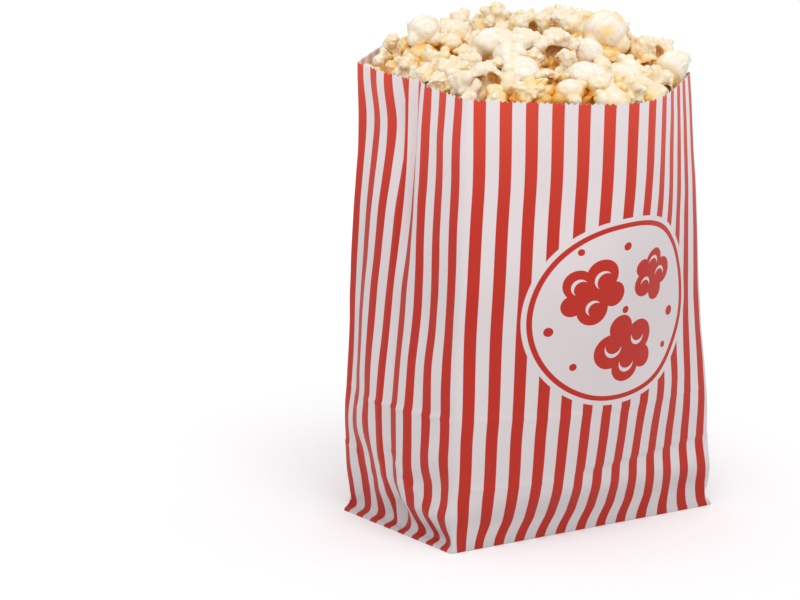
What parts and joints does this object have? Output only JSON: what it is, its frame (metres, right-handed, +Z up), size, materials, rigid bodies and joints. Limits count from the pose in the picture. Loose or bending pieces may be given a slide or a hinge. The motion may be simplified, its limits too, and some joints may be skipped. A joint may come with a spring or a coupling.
{
  "type": "paper bag of popcorn",
  "caption": "Striped paper bag with gusseted sides and a flat folded base, standing open and heaped with popped corn.",
  "frame": {"origin": "middle of the flat base, on the surface it stands on", "axes": "+X along the wide front to the right, -Y out of the front, +Z up"},
  "size_m": [0.1504, 0.1482, 0.2209],
  "materials": {
    "striped_paper": "thin smooth white paper printed with red stripes, slightly glossy, folded and creased",
    "popped_corn": "popped corn, cream white with pale yellow patches and brown hulls"
  },
  "bodies": {
    "root": {"paper_bag": "striped_paper", "popcorn_heap": "popped_corn"}
  },
  "joints": []
}
